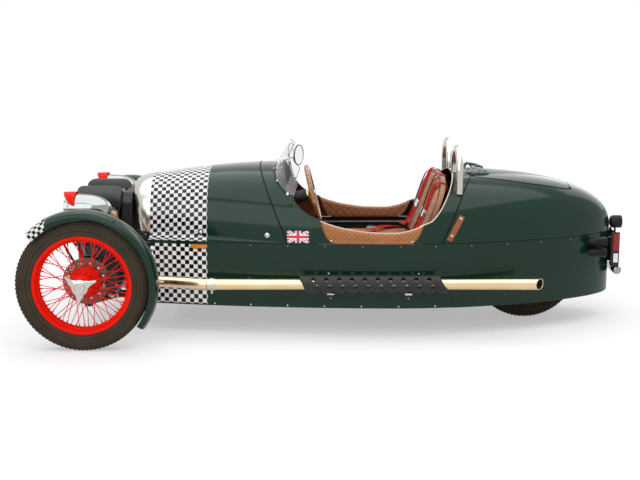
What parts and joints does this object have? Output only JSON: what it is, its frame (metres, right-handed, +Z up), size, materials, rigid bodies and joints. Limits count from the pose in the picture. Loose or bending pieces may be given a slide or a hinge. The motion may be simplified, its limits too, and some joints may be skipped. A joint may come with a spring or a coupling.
{
  "type": "three wheeled car",
  "caption": "Open two-seat three-wheeler: V-twin ahead of a horseshoe nose, wire wheels under turning mudguards, side exhausts, barrel tail with an opening lid and one enclosed driven wheel.",
  "frame": {"origin": "on the ground under the centre of the bounding box", "axes": "+X forward, +Y to the car's left, +Z up"},
  "size_m": [3.288, 1.72, 1.0122],
  "materials": {
    "green_paint": "gloss",
    "black_frame": "satin",
    "floor_metal": "matte",
    "polished_metal": "polished",
    "black_plastic": "satin",
    "tan_leather": "soft",
    "dash_wood": "varnished",
    "clear_screen": "clear",
    "engine_alloy": "cast",
    "engine_black": "satin",
    "exhaust_steel": "brushed",
    "shield_black": "matte",
    "damper_metal": "gloss",
    "amber_lens": "gloss",
    "tyre_rubber": "matte",
    "red_paint": "gloss",
    "disc_steel": "ground"
  },
  "bodies": {
    "chassis": {"chassis_frame": "black_frame", "floor_pan": "floor_metal", "lower_side_left": "green_paint", "lower_side_right": "green_paint", "lower_tail": "green_paint", "nose_cowl": "polished_metal", "nose_grille": "black_plastic", "bonnet": "green_paint", "scuttle": "green_paint", "rear_deck": "green_paint", "tail_upper": "green_paint", "cockpit_pads": "tan_leather", "seat_cushion": "tan_leather", "seat_back": "tan_leather", "dashboard": "dash_wood", "steering_column": "black_frame", "roll_hoops": "polished_metal", "aeroscreens": "clear_screen", "mirror": "polished_metal", "crankcase": "engine_alloy", "cylinders": "engine_black", "rocker_covers": "engine_black", "air_box": "black_plastic", "headlamps": "polished_metal", "headlamp_lenses": "clear_screen", "exhaust_headers": "exhaust_steel", "exhaust_pipes": "exhaust_steel", "heat_shields": "shield_black", "front_wishbones": "black_frame", "front_dampers": "damper_metal", "rear_suspension": "black_frame", "boot_tray": "floor_metal", "lid_hinge_pins": "polished_metal", "tail_lamps": "black_plastic", "plate_bracket": "black_plastic", "side_markers": "amber_lens"},
    "knuckle_left": {"knuckle_left": "black_frame", "mudguard_left": "green_paint"},
    "knuckle_right": {"knuckle_right": "black_frame", "mudguard_right": "green_paint"},
    "wheel_front_left": {"tyre_front_left": "tyre_rubber", "wire_wheel_left": "red_paint", "brake_disc_left": "disc_steel", "spinner_left": "polished_metal"},
    "wheel_front_right": {"tyre_front_right": "tyre_rubber", "wire_wheel_right": "red_paint", "brake_disc_right": "disc_steel", "spinner_right": "polished_metal"},
    "rear_wheel": {"tyre_rear": "tyre_rubber", "wheel_rear": "black_frame"},
    "steering_wheel": {"steering_wheel": "dash_wood"},
    "track_rod": {"track_rod": "black_frame"},
    "boot_lid": {"boot_lid": "green_paint", "lid_hinge_leaves": "polished_metal"}
  },
  "joints": [
    {"name": "steer_left", "type": "hinge", "parent": "chassis", "child": "knuckle_left", "pos_m": [1.302, 0.625, 0.342], "axis": [0, 0, 1], "range_deg": [-22, 22]},
    {"name": "steer_right", "type": "hinge", "parent": "chassis", "child": "knuckle_right", "pos_m": [1.302, -0.625, 0.342], "axis": [0, 0, 1], "range_deg": [-22, 22]},
    {"name": "steering_turn", "type": "hinge", "parent": "chassis", "child": "steering_wheel", "pos_m": [0.128, 0.22, 0.74], "axis": [-0.972, 0, 0.2351], "range_deg": [-270, 270]},
    {"name": "rack_slide", "type": "slide", "parent": "chassis", "child": "track_rod", "axis": [0, 1, 0], "range_m": [-0.0505, 0.0505]},
    {"name": "spin_front_left", "type": "hinge", "parent": "knuckle_left", "child": "wheel_front_left", "pos_m": [1.302, 0.755, 0.342], "axis": [0, 1, 0], "continuous": true},
    {"name": "spin_front_right", "type": "hinge", "parent": "knuckle_right", "child": "wheel_front_right", "pos_m": [1.302, -0.755, 0.342], "axis": [0, 1, 0], "continuous": true},
    {"name": "spin_rear", "type": "hinge", "parent": "chassis", "child": "rear_wheel", "pos_m": [-1.09, 0, 0.306], "axis": [0, 1, 0], "continuous": true},
    {"name": "lid_open", "type": "hinge", "parent": "chassis", "child": "boot_lid", "pos_m": [-0.769, 0, 0.87265], "axis": [0, 1, 0], "range_deg": [0, 80]}
  ],
  "couplings": [
    {"joint": "steer_right", "follows": "steer_left", "ratio": 1},
    {"joint": "steering_turn", "follows": "steer_left", "ratio": 12},
    {"joint": "rack_slide", "follows": "steer_left", "m_per_rad": -0.13}
  ]
}
